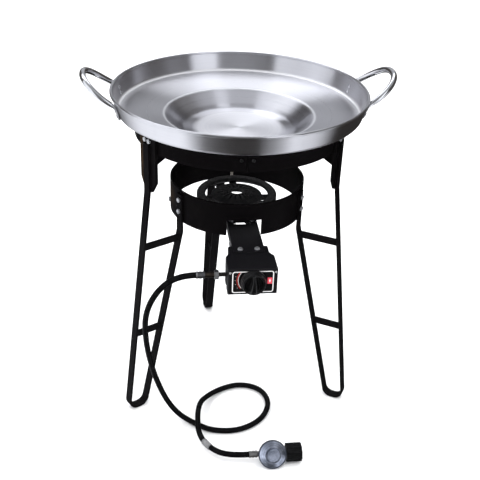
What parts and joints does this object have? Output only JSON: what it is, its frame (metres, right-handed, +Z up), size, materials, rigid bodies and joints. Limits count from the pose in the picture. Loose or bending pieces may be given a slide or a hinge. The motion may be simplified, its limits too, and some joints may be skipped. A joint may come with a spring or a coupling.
{
  "type": "outdoor propane cooker",
  "caption": "Outdoor propane cooker: a wide stainless pan with loop handles on a black hairpin-legged steel stand, over a ring burner with a control box, gas hose and regulator.",
  "frame": {"origin": "on the floor under the stand's axis", "axes": "+Z up along the stand's axis, -Y towards the control box, X along the pan's handles"},
  "size_m": [0.6814, 0.683, 0.7892],
  "materials": {
    "pan_steel": "spun stainless with fine turning lines",
    "handle_steel": "polished stainless rod",
    "stand_paint": "black satin paint",
    "fastener_zinc": "zinc-plated steel",
    "burner_iron": "black cast iron",
    "box_paint": "black satin paint on sheet",
    "dial_print": "printed black film with plain marks",
    "knob_plastic": "black moulded plastic",
    "valve_alloy": "die-cast alloy",
    "gas_brass": "turned brass",
    "electrode_ceramic": "white glazed ceramic",
    "hose_rubber": "smooth black rubber",
    "ferrule_metal": "dull crimped steel",
    "regulator_metal": "satin grey die-cast alloy",
    "coupling_plastic": "black ribbed plastic"
  },
  "bodies": {
    "stand": {"upper_ring": "stand_paint", "band_strap": "stand_paint", "lower_ring": "stand_paint", "leg_back": "stand_paint", "leg_left": "stand_paint", "leg_right": "stand_paint", "rungs_back": "stand_paint", "rungs_left": "stand_paint", "rungs_right": "stand_paint", "leg_bracket_back": "stand_paint", "leg_bracket_left": "stand_paint", "leg_bracket_right": "stand_paint", "burner_support": "stand_paint", "leg_bolts_upper": "fastener_zinc", "leg_nuts_upper": "fastener_zinc", "leg_bolts_lower": "fastener_zinc", "leg_nuts_lower": "fastener_zinc", "strap_bolts": "fastener_zinc", "strap_nuts": "fastener_zinc", "support_bolts": "fastener_zinc", "support_nuts": "fastener_zinc", "burner_screws": "fastener_zinc", "shield_screws": "fastener_zinc", "panel_screws": "fastener_zinc", "panel_nut": "fastener_zinc", "electrode_wire": "fastener_zinc", "burner_casting": "burner_iron", "centre_cap": "burner_iron", "heat_shield": "box_paint", "control_box": "box_paint", "valve_bracket": "box_paint", "dial_plate": "dial_print", "piezo_igniter": "knob_plastic", "valve_body": "valve_alloy", "injectors": "gas_brass", "inlet_nipple": "gas_brass", "inlet_pipe": "gas_brass", "swivel_nut": "gas_brass", "electrode_insulator": "electrode_ceramic", "ignition_lead": "hose_rubber", "hose": "hose_rubber", "valve_ferrule": "ferrule_metal", "regulator_ferrule": "ferrule_metal", "regulator_body": "regulator_metal", "regulator_cover": "regulator_metal", "regulator_cap": "regulator_metal"},
    "pan": {"pan": "pan_steel", "handle_left": "handle_steel", "handle_right": "handle_steel", "handle_rivets": "handle_steel"},
    "knob_carrier": {"stem_collar": "fastener_zinc"},
    "knob": {"control_knob": "knob_plastic", "valve_stem": "fastener_zinc"},
    "air_shutter_left": {"air_shutter_left": "fastener_zinc"},
    "air_shutter_right": {"air_shutter_right": "fastener_zinc"},
    "coupling": {"coupling_nut": "coupling_plastic"}
  },
  "joints": [
    {"name": "pan_lift", "type": "slide", "parent": "stand", "child": "pan", "axis": [0, 0, 1], "range_m": [0, 0.15]},
    {"name": "knob_push", "type": "slide", "parent": "stand", "child": "knob_carrier", "axis": [0, 1, 0], "range_m": [0, 0.004], "stiffness_N_per_m": 800},
    {"name": "knob_turn", "type": "hinge", "parent": "knob_carrier", "child": "knob", "pos_m": [0, -0.33, 0.454], "axis": [0, -1, 0], "range_deg": [0, 180]},
    {"name": "air_shutter_left_turn", "type": "hinge", "parent": "stand", "child": "air_shutter_left", "pos_m": [-0.023, -0.179, 0.459], "axis": [0, 1, 0], "range_deg": [0, 40]},
    {"name": "air_shutter_right_turn", "type": "hinge", "parent": "stand", "child": "air_shutter_right", "pos_m": [0.023, -0.179, 0.459], "axis": [0, -1, 0], "range_deg": [0, 40]},
    {"name": "coupling_nut_turn", "type": "hinge", "parent": "stand", "child": "coupling", "pos_m": [0.104, -0.35, 0.0212], "axis": [1, 0, 0], "continuous": true}
  ]
}
